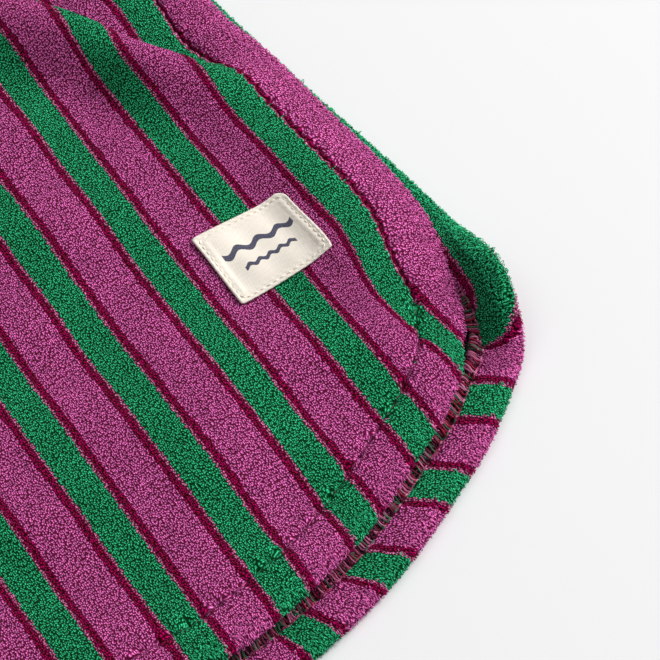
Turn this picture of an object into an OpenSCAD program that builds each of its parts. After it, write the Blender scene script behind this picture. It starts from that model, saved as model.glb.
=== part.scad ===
// Hooded baby towel of the pull-over kind, laid flat on its back.
// A back panel and a shorter front panel of striped terry hang from the shoulders,
// with a hood at the neck. The sides are open from shoulder to hem.
// +Z is up, +Y runs from the hem to the hood, X runs across the width.
// The origin is on the floor, under the middle of the towel's box.

/* [Body] */
// Length of the whole towel, from the back hem to the top of the hood
total_length = 810; // [760:5:860]
// Length of the back panel, from its hem to the shoulders
back_length = 560; // [520:5:600]
// Width of the back panel
back_width = 596; // [560:2:640]
// Width of the front panel
front_width = 572; // [540:2:590]
// How much shorter the front panel is than the back panel
front_rise = 15; // [8:1:30]
// Thickness of one layer of terry
terry = 3.5; // [3:0.1:4]

/* [Hems] */
// Width of the allowance that is turned in, up to its overlocked edge
hem_band = 17; // [14:0.5:22]
// Width of the overlocked raw edge of that allowance
overlock_width = 3.5; // [2:0.5:4]
// Radius of the bottom corners
corner_radius = 50; // [40:1:60]
// Slope of the hem next to each corner, in degrees
flank_slope = 26; // [20:1:30]
// Length of that sloping stretch
flank_length = 95; // [60:1:110]
// Radius that rounds the slope into the straight middle of the hem
belly_radius = 180; // [120:5:200]

/* [Layers] */
// Space between the back's turned-up hem and the front's turned-under hem
layer_gap = 6; // [5:0.5:8]
// Depth of the part of the front that stays with the shoulders
yoke_depth = 90; // [85:1:120]
// Radius of the neckline's scoop in the front
neck_radius = 75; // [65:1:78]
// Width of a shoulder seam
seam_width = 8; // [6:0.5:10]
// How far the shoulders slope down from the hood to the back's side edge
shoulder_drop = 30; // [10:1:40]

/* [Hood] */
// Width of the hood at its widest
hood_width = 270; // [240:2:300]
// Width of the hood where it is sewn to the neck
hood_neck_width = 176; // [170:2:200]
// Height of the hood as it lies
hood_height = 58; // [45:1:70]
// Half the width of the face opening
face_half_width = 62; // [50:1:72]
// Length of the face opening, from the neck towards the crown
face_length = 180; // [150:1:190]
// Width of the turned-under hem round the face opening
brim_band = 18; // [12:1:22]

/* [Trim] */
// Size of the patch label across the stripes
label_width = 46.5; // [40:0.5:50]
// Size of the patch label along the stripes
label_height = 38; // [32:0.5:42]
// Distance from the patch label to the front's side edge
label_side_gap = 44; // [38:1:60]
// Distance from the patch label to the front's lowest hem line
label_hem_gap = 131.5; // [125:0.5:140]
// Thickness of the label cloth
label_cloth = 0.6; // [0.4:0.1:1]
// Length of the hanging loop
loop_length = 52; // [40:1:56]
// Width over both legs of the hanging loop
loop_width = 26; // [20:1:30]
// Width of the tape that the hanging loop is made of
loop_tape = 8; // [6:0.5:9]
// Length of the care label
care_length = 36; // [28:1:44]
// Width of the care label
care_width = 24; // [18:1:28]

/* [Hidden] */

clearance = 0.3;
thread = 0.5;
thread_width = 0.9;
stitch_inset = hem_band + 1;
rounding_steps = 14;

hem_y = -total_length / 2;
neck_y = hem_y + back_length;
crown_y = total_length / 2;
fold_y = neck_y - yoke_depth;
front_hem_y = hem_y + front_rise;

// Height of the bottom face of each layer
back_band_z = terry;
front_band_z = 2 * terry + layer_gap;
front_z = front_band_z + terry;
front_top_z = front_z + terry;

hood_wall = terry;
hood_radius = hood_width / 2;
hood_neck_half = hood_neck_width / 2;
hood_start_y = neck_y + clearance;
hood_centre_y = crown_y - hood_radius;
neck_height = front_top_z;
crown_height = 30;

pink = "#b94a98";
green = "#1e8c58";
maroon = "#7a0d32";
cream = "#eee7dc";

// Points along an arc, from one angle to another
function arc(centre, radius, from, to) = [
    for (i = [0 : rounding_steps])
        let (angle = from + (to - from) * i / rounding_steps)
            centre + radius * [cos(angle), sin(angle)]
];

// Right half of a panel's lower edge, drawn in from the real edge by inset.
// The corner runs into a slope, and the slope into the level middle.
function half_hem(width, low_y, inset) =
    let (
        turn = 90 - flank_slope,
        drop = corner_radius * sin(turn) + flank_length * sin(flank_slope)
            + belly_radius * (1 - cos(flank_slope)),
        corner = [width / 2 - corner_radius, low_y + drop],
        corner_end = corner + corner_radius * [cos(turn), -sin(turn)],
        flank_end = corner_end - flank_length * [cos(flank_slope), sin(flank_slope)],
        belly = flank_end + belly_radius * [-cos(turn), sin(turn)]
    )
    concat(
        arc(corner, corner_radius - inset, 0, -turn),
        arc(belly, belly_radius - inset, -turn, -90)
    );

// The shoulder line's y at a distance from the middle, beyond the hood's neck
function shoulder_y(x) =
    neck_y - shoulder_drop * (x - hood_neck_half) / (back_width / 2 - hood_neck_half);

// Right half of a panel, mirrored for the left half, up to the shoulders
module panel_outline(width, low_y, inset = 0, rise = 0) {
    side = width / 2 - inset;
    top = [[hood_neck_half, neck_y + rise], [side, shoulder_y(side) + rise]];
    right = concat(top, half_hem(width, low_y, inset));
    count = len(right);
    left = [for (i = [count - 1 : -1 : 0]) [-right[i][0], right[i][1]]];
    polygon(concat(right, left));
}

// A strip that follows the sides and the hem between two insets
module hem_strip(width, low_y, outer, inner) {
    difference() {
        panel_outline(width, low_y, outer);
        panel_outline(width, low_y, inner, 1);
    }
}

// Keeps what lies between two heights of y
module between_y(from, to) {
    intersection() {
        children();
        translate([-back_width, from]) square([2 * back_width, to - from]);
    }
}

module at_height(z, thickness) {
    translate([0, 0, z]) linear_extrude(thickness) children();
}

module back_panel() {
    color(pink) at_height(0, terry)
        panel_outline(back_width, hem_y);
}

module back_hem_band() {
    color(green) at_height(back_band_z, terry)
        hem_strip(back_width, hem_y, 0, hem_band);
}

module back_overlock_edge() {
    color(maroon) at_height(back_band_z, terry)
        hem_strip(back_width, hem_y, hem_band, hem_band + overlock_width);
}

module back_hem_stitching() {
    color(pink) at_height(back_band_z + terry, thread)
        hem_strip(back_width, hem_y, stitch_inset, stitch_inset + thread_width);
}

// Keeps the part of the front that stays with the shoulders
module in_yoke() {
    between_y(fold_y + clearance, neck_y) children();
}

module front_yoke() {
    color(pink) at_height(front_z, terry)
        difference() {
            in_yoke() panel_outline(front_width, front_hem_y);
            translate([0, neck_y]) circle(r = neck_radius, $fn = 72);
        }
}

// Area that the two shoulder seams take up, next to the shoulder line
module shoulder_seam_area() {
    difference() {
        panel_outline(front_width, front_hem_y);
        translate([0, -seam_width]) panel_outline(2 * front_width, front_hem_y);
        translate([-neck_radius - 4, fold_y]) square([2 * neck_radius + 8, yoke_depth]);
    }
}

module yoke_side_bands() {
    color(green) at_height(front_band_z, terry)
        difference() {
            in_yoke() hem_strip(front_width, front_hem_y, 0, hem_band);
            shoulder_seam_area();
        }
}

module yoke_overlock_edges() {
    color(maroon) at_height(front_band_z, terry)
        difference() {
            in_yoke() hem_strip(front_width, front_hem_y, hem_band, hem_band + overlock_width);
            shoulder_seam_area();
        }
}

module yoke_side_stitching() {
    color(maroon) at_height(front_top_z, thread)
        in_yoke() hem_strip(front_width, front_hem_y, stitch_inset, stitch_inset + thread_width);
}

// Sewn join of front and back along one shoulder; side is -1 for left and 1 for right
module shoulder_seam(side) {
    color(pink)
        difference() {
            at_height(terry, front_z - terry)
                intersection() {
                    shoulder_seam_area();
                    translate([side > 0 ? 0 : -back_width, fold_y]) square([back_width, yoke_depth]);
                }
            // Room for the back's turned-up hem, its overlocked edge and its stitching
            at_height(0, 2 * terry + thread)
                hem_strip(back_width, hem_y, -1, hem_band + overlock_width);
        }
}

module shoulder_seam_left() { shoulder_seam(-1); }

module shoulder_seam_right() { shoulder_seam(1); }

// Cotton tape that covers the back neck seam on the inside
module neck_tape() {
    color(cream)
        translate([-neck_radius, neck_y - 10, terry])
            cube([2 * neck_radius, 10, 1]);
}

// Keeps the part of the front that folds up, ending a gap short of the fold line
module below_fold(gap = 0) {
    between_y(hem_y, fold_y - gap) children();
}

module front_panel() {
    color(pink) at_height(front_z, terry)
        below_fold() panel_outline(front_width, front_hem_y);
}

module front_hem_band() {
    color(green) at_height(front_band_z, terry)
        below_fold() hem_strip(front_width, front_hem_y, 0, hem_band);
}

module front_overlock_edge() {
    color(maroon) at_height(front_band_z, terry)
        below_fold() hem_strip(front_width, front_hem_y, hem_band, hem_band + overlock_width);
}

module front_hem_stitching() {
    color(maroon) at_height(front_top_z, thread)
        below_fold(2 * thread)
            hem_strip(front_width, front_hem_y, stitch_inset, stitch_inset + thread_width);
}

label_corner = [
    front_width / 2 - label_side_gap - label_width,
    front_hem_y + label_hem_gap,
    front_top_z,
];

module patch_label() {
    color(cream) translate(label_corner)
        cube([label_width, label_height, label_cloth]);
}

// Row of stitches just inside the label's edge, as one thin frame of thread
module patch_label_stitching() {
    inset = 1.5;
    color(cream) translate(label_corner + [inset, inset, label_cloth])
        difference() {
            cube([label_width - 2 * inset, label_height - 2 * inset, thread]);
            translate([thread_width, thread_width, -1])
                cube([
                    label_width - 2 * (inset + thread_width),
                    label_height - 2 * (inset + thread_width),
                    thread + 2,
                ]);
        }
}

// Height of the hood's outside: it rises from the neck, then rounds off at the crown
function hood_top(y) =
    let (
        rise = min(1, (y - hood_start_y) / (0.55 * (crown_y - hood_start_y))),
        fall = max(0, (y - (crown_y - 70)) / 70)
    )
    neck_height + (hood_height - neck_height) * sin(90 * rise)
        - (hood_height - crown_height) * (1 - sqrt(1 - fall * fall));

hood_ys = [
    for (i = [0 : 2 * rounding_steps])
        let (t = sin(90 * i / (2 * rounding_steps)))
            hood_start_y + t * (crown_y - hood_start_y)
];

// Solid across the whole width between two depths under the hood's outside
module under_hood_top(upper, lower) {
    count = len(hood_ys);
    above = [for (y = hood_ys) [y, hood_top(y) - upper]];
    below = [for (i = [count - 1 : -1 : 0]) [hood_ys[i], hood_top(hood_ys[i]) - lower]];
    rotate([90, 0, 90])
        translate([0, 0, -hood_width])
            linear_extrude(2 * hood_width) polygon(concat(above, below));
}

// Everything above the floor and under the hood's outside
module below_hood_top(depth, floor_z) {
    above = [for (y = hood_ys) [y, hood_top(y) - depth]];
    rotate([90, 0, 90])
        translate([0, 0, -hood_width])
            linear_extrude(2 * hood_width)
                polygon(concat([[hood_start_y, floor_z]], above, [[crown_y, floor_z]]));
}

// Plan of the hood: it widens from the neck, then ends in a round crown
module hood_plan(inset = 0) {
    wide = hood_radius - inset;
    narrow = hood_neck_half - inset;
    widest_y = hood_centre_y - hood_radius / 3;
    centre = [0, hood_centre_y];
    polygon(concat(
        [[narrow, hood_start_y], [wide, widest_y]],
        arc(centre, wide, 0, 90),
        arc(centre, wide, 90, 180),
        [[-wide, widest_y], [-narrow, hood_start_y]]
    ));
}

// Plan of the face opening, open at the neck; grow widens it on every side
module face_plan(grow = 0) {
    half = face_half_width + grow;
    round_y = hood_start_y + face_length - face_half_width;
    translate([0, round_y]) circle(r = half, $fn = 64);
    translate([-half, hood_start_y - 1])
        square([2 * half, round_y - hood_start_y + 1]);
}

// The hood as one hollow pouch, open at the neck and at the face
module hood_pouch() {
    difference() {
        intersection() {
            linear_extrude(hood_height + 1) hood_plan();
            below_hood_top(0, 0);
        }
        intersection() {
            translate([0, 0, hood_wall]) linear_extrude(hood_height) hood_plan(hood_wall);
            below_hood_top(hood_wall, 0);
        }
        // The neck end is open
        translate([-hood_neck_half + hood_wall, hood_start_y - 1, hood_wall])
            cube([2 * (hood_neck_half - hood_wall), 2, neck_height - 2 * hood_wall]);
        translate([0, 0, hood_wall + 2]) linear_extrude(hood_height) face_plan();
    }
}

centre_seam_half = 1.5;

// One half of the hood; side is -1 for left and 1 for right
module hood_half(side) {
    color(side > 0 ? green : pink)
        intersection() {
            hood_pouch();
            translate([
                side > 0 ? centre_seam_half : -hood_width - centre_seam_half,
                hood_start_y - 1,
                -1,
            ])
                cube([hood_width, total_length, hood_height + 2]);
        }
}

module hood_left() { hood_half(-1); }

module hood_right() { hood_half(1); }

module hood_centre_seam() {
    color(maroon)
        intersection() {
            hood_pouch();
            translate([-centre_seam_half, hood_start_y - 1, -1])
                cube([2 * centre_seam_half, total_length, hood_height + 2]);
        }
}

// Strip that follows the face opening between two distances from its edge
module brim_strip(inner, outer) {
    intersection() {
        difference() {
            face_plan(outer);
            face_plan(inner);
        }
        translate([-hood_radius, hood_start_y]) square([hood_width, total_length]);
    }
}

module hood_brim_band() {
    color(green)
        intersection() {
            linear_extrude(hood_height) brim_strip(0, brim_band);
            under_hood_top(hood_wall, hood_wall + terry);
        }
}

module hood_brim_stitching() {
    color(maroon)
        intersection() {
            linear_extrude(hood_height + 2) brim_strip(brim_band - 3, brim_band - 3 + thread_width);
            under_hood_top(-thread, 0);
        }
}

// Flat loop of tape sewn into the back neck seam, lying on the back panel
loop_z = terry + 1 + clearance;

module hanging_loop() {
    half = loop_width / 2;
    color(cream)
        translate([0, neck_y - 1, loop_z])
            linear_extrude(1.2)
                difference() {
                    union() {
                        translate([-half, half - loop_length])
                            square([2 * half, loop_length - half]);
                        translate([0, half - loop_length]) circle(r = half, $fn = 48);
                    }
                    translate([-half + loop_tape, half - loop_length])
                        square([2 * (half - loop_tape), loop_length - half + 1]);
                    translate([0, half - loop_length]) circle(r = half - loop_tape, $fn = 48);
                }
}

module care_label() {
    color("white")
        translate([loop_width / 2 + 12, neck_y - 1 - care_length, loop_z])
            cube([care_width, care_length, 0.5]);
}

back_panel();
back_hem_band();
back_overlock_edge();
back_hem_stitching();
front_yoke();
yoke_side_bands();
yoke_overlock_edges();
yoke_side_stitching();
shoulder_seam_left();
shoulder_seam_right();
neck_tape();
front_panel();
front_hem_band();
front_overlock_edge();
front_hem_stitching();
patch_label();
patch_label_stitching();
hood_left();
hood_right();
hood_centre_seam();
hood_brim_band();
hood_brim_stitching();
hanging_loop();
care_label();
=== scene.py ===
"""Hooded baby towel of striped terry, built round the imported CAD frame.

Every length in this script is in millimetres, and new_object() turns it into the frame's metres.
Each cloth is worked out flat first. Its flat place gives the woven stripes, and drape functions
lift the flat place into the towel's soft, slightly folded shape. The hood is the exception: it is
shaped directly, and its stripes follow its plan.
"""
import math

import bpy
import numpy as np
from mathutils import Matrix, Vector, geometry


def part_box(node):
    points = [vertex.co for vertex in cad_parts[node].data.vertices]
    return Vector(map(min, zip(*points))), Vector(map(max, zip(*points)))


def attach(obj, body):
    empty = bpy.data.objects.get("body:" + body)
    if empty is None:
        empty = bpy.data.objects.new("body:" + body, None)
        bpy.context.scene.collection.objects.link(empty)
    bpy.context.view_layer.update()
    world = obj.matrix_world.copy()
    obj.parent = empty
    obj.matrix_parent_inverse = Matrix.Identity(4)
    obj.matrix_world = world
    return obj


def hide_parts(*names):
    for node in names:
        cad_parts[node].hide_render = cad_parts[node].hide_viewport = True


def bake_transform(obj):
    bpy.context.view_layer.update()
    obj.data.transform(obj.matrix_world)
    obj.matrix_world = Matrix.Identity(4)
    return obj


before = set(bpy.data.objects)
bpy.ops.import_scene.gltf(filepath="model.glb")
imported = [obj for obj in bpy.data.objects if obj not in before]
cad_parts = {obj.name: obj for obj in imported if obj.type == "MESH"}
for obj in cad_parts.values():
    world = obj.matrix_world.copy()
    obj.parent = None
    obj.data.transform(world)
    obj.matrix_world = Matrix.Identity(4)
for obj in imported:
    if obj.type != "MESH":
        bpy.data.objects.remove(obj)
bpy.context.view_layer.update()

rng = np.random.default_rng(7)

MM = 0.001


def cad(node):
    """Lowest and highest corner of a CAD node, in millimetres."""
    low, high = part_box(node)
    return np.array(low) / MM, np.array(high) / MM


# ---------------------------------------------------------------- sizes, in millimetres
BACK_LOW, BACK_HIGH = cad("back_panel")
FRONT_LOW, FRONT_HIGH = cad("front_panel")
HOOD_HIGH = cad("hood_right")[1]
BRIM_HIGH = cad("hood_brim_band")[1]
BAND_WIDTH = cad("back_overlock_edge")[0][0] - BACK_LOW[0]

BACK_HALF = BACK_HIGH[0]
FRONT_HALF = FRONT_HIGH[0]
NECK_Y = BACK_HIGH[1]
CROWN_Y = HOOD_HIGH[1]

TERRY = 3.0            # thickness of one layer with its pile pressed
FOLD_RADIUS = 1.75     # of the middle of the cloth where a hem turns over
PILE_REACH = 2.0       # how far the pile stands out from the middle of the cloth at a folded edge
OVERLOCK = 3.5         # width of the overlocked raw edge
OVERLOCK_REACH = 6.2   # how far its stitches reach over the pile beside it
CORNER_RADIUS = 50.0
FLANK_SLOPE = math.radians(26)
FLANK_LENGTH = 95.0
BELLY_RADIUS = 180.0
SHOULDER_DROP = 30.0
HOOD_NECK_HALF = 88.0
NECK_RADIUS = 75.0
REPEAT = 39.6          # one repeat of the woven stripes
STITCH_PITCH = 4.0     # from one topstitch to the next
HEM_DROP = (           # height of the hem's corners above its lowest edge
    CORNER_RADIUS * math.cos(FLANK_SLOPE)
    + FLANK_LENGTH * math.sin(FLANK_SLOPE)
    + BELLY_RADIUS * (1 - math.cos(FLANK_SLOPE))
)


# ---------------------------------------------------------------- small helpers
def smooth(value, start, end):
    """0 before start, 1 after end, and smooth between them."""
    t = np.clip((value - start) / (end - start), 0, 1)
    return t * t * (3 - 2 * t)


def bump(value, start, top_start, top_end, end):
    """Smooth rise from start to top_start and smooth fall from top_end to end."""
    return smooth(value, start, top_start) * (1 - smooth(value, top_end, end))


def new_object(name, points, faces, material, cloth=None, tint=None):
    """Mesh object from points in millimetres. cloth is each point's place in the flat cloth."""
    mesh = bpy.data.meshes.new(name)
    mesh.from_pydata((np.asarray(points) * MM).tolist(), [], faces)
    mesh.polygons.foreach_set("use_smooth", [True] * len(mesh.polygons))
    if cloth is not None:
        attribute = mesh.attributes.new("cloth", "FLOAT_VECTOR", "POINT")
        flat = np.zeros((len(points), 3), np.float32)
        flat[:, :2] = cloth
        attribute.data.foreach_set("vector", flat.ravel())
    if tint is not None:
        attribute = mesh.attributes.new("tint", "FLOAT", "POINT")
        attribute.data.foreach_set("value", np.asarray(tint, np.float32))
    mesh.materials.append(material)
    mesh.update()
    piece = bpy.data.objects.new(name, mesh)
    bpy.context.scene.collection.objects.link(piece)
    return piece


def lengths_along(line):
    """Length along a line of points, from its first point to each of them."""
    return np.concatenate([[0], np.cumsum(np.linalg.norm(np.diff(line, axis=0), axis=1))])


def grid_faces(rows, columns, flip=False):
    """Faces of a grid of points that is numbered row by row. flip turns them over."""
    starts = [row * columns + column for row in range(rows - 1) for column in range(columns - 1)]
    if flip:
        return [(a, a + columns, a + columns + 1, a + 1) for a in starts]
    return [(a, a + 1, a + columns + 1, a + columns) for a in starts]


def tube_faces(rings, sides):
    """Faces of a tube through rings of points, closed at both ends."""
    faces = []
    for start in range(0, (rings - 1) * sides, sides):
        for k in range(sides):
            a, b = start + k, start + (k + 1) % sides
            faces.append((a, b, b + sides, a + sides))
    faces.append(tuple(reversed(range(sides))))
    faces.append(tuple((rings - 1) * sides + k for k in range(sides)))
    return faces


def point_normals(points, faces):
    """Unit normal at each point, from the faces round it."""
    normals = np.zeros_like(points)
    triangles = []
    for face in faces:
        triangles.append(face[:3])
        if len(face) == 4:
            triangles.append((face[0], face[2], face[3]))
    t = np.array(triangles)
    across = np.cross(points[t[:, 1]] - points[t[:, 0]], points[t[:, 2]] - points[t[:, 0]])
    for corner in range(3):
        np.add.at(normals, t[:, corner], across)
    return normals / np.maximum(np.linalg.norm(normals, axis=1, keepdims=True), 1e-9)


def thicken(points, faces, thickness):
    """Closed sheet of even thickness round a middle surface.

    Returns its points, its faces and the middle point that each point comes from."""
    normals = point_normals(points, faces)
    count = len(points)
    outer = points + normals * thickness / 2
    inner = points - normals * thickness / 2
    edges = {}
    for face in faces:
        for a, b in zip(face, face[1:] + face[:1]):
            edges[(a, b)] = True
    rim = [(a, b) for a, b in edges if (b, a) not in edges]
    shell = [tuple(face) for face in faces]
    shell += [tuple(count + i for i in reversed(face)) for face in faces]
    shell += [(b, a, count + a, count + b) for a, b in rim]
    source = np.concatenate([np.arange(count), np.arange(count)])
    return np.concatenate([outer, inner]), shell, source


def soft_noise(x, y, size, seed):
    """Smooth waves of about the given size, from -1 to 1."""
    waves = np.random.default_rng(seed)
    total = np.zeros(np.broadcast(x, y).shape)
    for _ in range(7):
        angle = waves.uniform(0, math.pi)
        length = size * waves.uniform(0.7, 1.6)
        phase = waves.uniform(0, 2 * math.pi)
        total += np.sin(2 * math.pi * (x * math.cos(angle) + y * math.sin(angle)) / length + phase)
    return total / 4.0


def strands(paths, radius, sides):
    """Round threads along paths, an array of (threads, points, 3).

    Returns their points, their faces and the thread that each point belongs to."""
    paths = np.asarray(paths, float)
    threads, steps, _ = paths.shape
    tangent = np.gradient(paths, axis=1)
    tangent /= np.maximum(np.linalg.norm(tangent, axis=2, keepdims=True), 1e-9)
    side = np.cross(tangent, [0.03, 0.05, 1.0])
    side /= np.maximum(np.linalg.norm(side, axis=2, keepdims=True), 1e-9)
    over = np.cross(side, tangent)
    turn = 2 * math.pi * np.arange(sides) / sides
    ring = side[:, :, None] * np.cos(turn)[:, None] + over[:, :, None] * np.sin(turn)[:, None]
    points = paths[:, :, None] + ring * radius
    first = np.arange(threads)[:, None, None] * steps * sides
    ring_start = first + np.arange(steps - 1)[:, None] * sides
    a = ring_start + np.arange(sides)
    b = ring_start + (np.arange(sides) + 1) % sides
    walls = np.stack([a, a + sides, b + sides, b], axis=-1).reshape(-1, 4)
    start_cap = (first[:, 0] + np.arange(sides)).reshape(-1, sides)
    end_cap = (first[:, 0] + (steps - 1) * sides + np.arange(sides)[::-1]).reshape(-1, sides)
    faces = walls.tolist() + start_cap.tolist() + end_cap.tolist()
    return points.reshape(-1, 3), faces, np.repeat(np.arange(threads), steps * sides)


def tinted(threads, radius, sides=5):
    """Threads as one shape, and a random tint for each of them, given at every point."""
    points, faces, thread = strands(threads, radius, sides)
    return (points, faces), rng.random(len(threads))[thread]


def stitch_row(starts, pitch=STITCH_PITCH, gap=0.1, length=0.72, steps=6):
    """Places along a row of stitches, and how far each place arches, from 0 to 1 and back.

    gap and length are shares of the pitch."""
    t = np.linspace(0, 1, steps)
    return starts[:, None] + pitch * (gap + length * t), np.sin(math.pi * t)


# ---------------------------------------------------------------- hemmed outline
def shoulder_y(x):
    """The shoulder line, which slopes from the hood's neck to the side."""
    slope = SHOULDER_DROP / (BACK_HALF - HOOD_NECK_HALF)
    return NECK_Y - slope * np.maximum(np.abs(x) - HOOD_NECK_HALF, 0)


def hem_path(half_width, low_y, step):
    """A panel's folded edge from the left shoulder round the hem to the right shoulder.

    Returns evenly spaced points, their outward unit normals and their lengths along the edge."""
    turn = math.pi / 2 - FLANK_SLOPE
    corner = np.array([half_width - CORNER_RADIUS, low_y + HEM_DROP])
    corner_end = corner + CORNER_RADIUS * np.array([math.cos(turn), -math.sin(turn)])
    flank_end = corner_end - FLANK_LENGTH * np.array([math.cos(FLANK_SLOPE), math.sin(FLANK_SLOPE)])
    belly = flank_end + BELLY_RADIUS * np.array([-math.cos(turn), math.sin(turn)])
    fine = 0.5             # between the outline's first points, which are then spaced evenly
    points, angles = [], []

    def line(start, end, angle):
        for t in np.arange(0, 1, fine / np.linalg.norm(end - start)):
            points.append(start + (end - start) * t)
            angles.append(angle)

    def arc(centre, radius, start, end):
        for t in np.arange(0, 1, fine / abs(radius * (end - start))):
            angle = start + (end - start) * t
            points.append(centre + radius * np.array([math.cos(angle), math.sin(angle)]))
            angles.append(angle)

    line(np.array([0.0, low_y]), np.array([belly[0], low_y]), -math.pi / 2)
    arc(belly, BELLY_RADIUS, -math.pi / 2, -turn)
    line(flank_end, corner_end, -turn)
    arc(corner, CORNER_RADIUS, -turn, 0)
    line(np.array([half_width, corner[1]]), np.array([half_width, shoulder_y(half_width)]), 0)
    right = np.array(points)
    normal = np.stack([np.cos(angles), np.sin(angles)], axis=1)
    points = np.concatenate([right[:0:-1] * [-1, 1], right])
    normals = np.concatenate([normal[:0:-1] * [-1, 1], normal])
    length = lengths_along(points)
    even = np.linspace(0, length[-1], int(length[-1] / step) + 1)
    points = np.stack([np.interp(even, length, points[:, k]) for k in (0, 1)], axis=1)
    normals = np.stack([np.interp(even, length, normals[:, k]) for k in (0, 1)], axis=1)
    normals /= np.linalg.norm(normals, axis=1, keepdims=True)
    return points, normals, even


def turned_edge(distance):
    """Where cloth lies that turns over at an edge, by its distance from the edge along the cloth.

    Returns the distance along the panel, which is never positive, and the height off the panel."""
    r = FOLD_RADIUS
    angle = np.clip((distance + r) / r, 0, math.pi)
    along = np.where(distance <= -r, distance, -r + r * np.sin(angle))
    past = np.maximum(distance - (math.pi - 1) * r, 0)
    return along - past, r * (1 - np.cos(angle))


# Rows of a hem, by distance along the cloth from the folded edge: the inner side, the
# stitched groove, the roll of the fold, and the turned band as far as its raw edge
HEM_DEPTH = 40.0
STITCH_INSET = BAND_WIDTH + 1
BAND_END = BAND_WIDTH + OVERLOCK + (math.pi - 2) * FOLD_RADIUS
HEM_ROWS = np.array(
    [-HEM_DEPTH, -36, -32, -28.5, -25.5, -23, -21.2, -20, -19, -18]
    + [-17, -16, -15, -13.2, -11, -8.8, -6.6, -4.6, -3, -1.9]
    + [-FOLD_RADIUS + FOLD_RADIUS * math.pi * k / 8 for k in range(1, 8)]
    + [4.2, 6, 8.5, 11, 13.5, 15.5, 17, 18.4, 19.8, BAND_END]
)


def hem_relief(along, distance):
    """Height of a hem's padding, its stitched groove and the puckers across that."""
    pucker = 0.5 * np.sin(2 * math.pi * along / 7.3 + 2.0 * np.sin(along / 31.0))
    pucker += 0.3 * np.sin(2 * math.pi * along / 4.1 + 1.3 * np.sin(along / 17.0))
    inset = np.abs(distance)
    from_stitch = np.abs(inset - STITCH_INSET)
    padding = 1.0 * bump(inset, 2, 6, 12, 17)
    groove = 1.7 * np.exp(-((from_stitch / 1.5) ** 2))
    return padding - groove + 1.5 * np.exp(-((from_stitch / 5.0) ** 2)) * pucker


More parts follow.
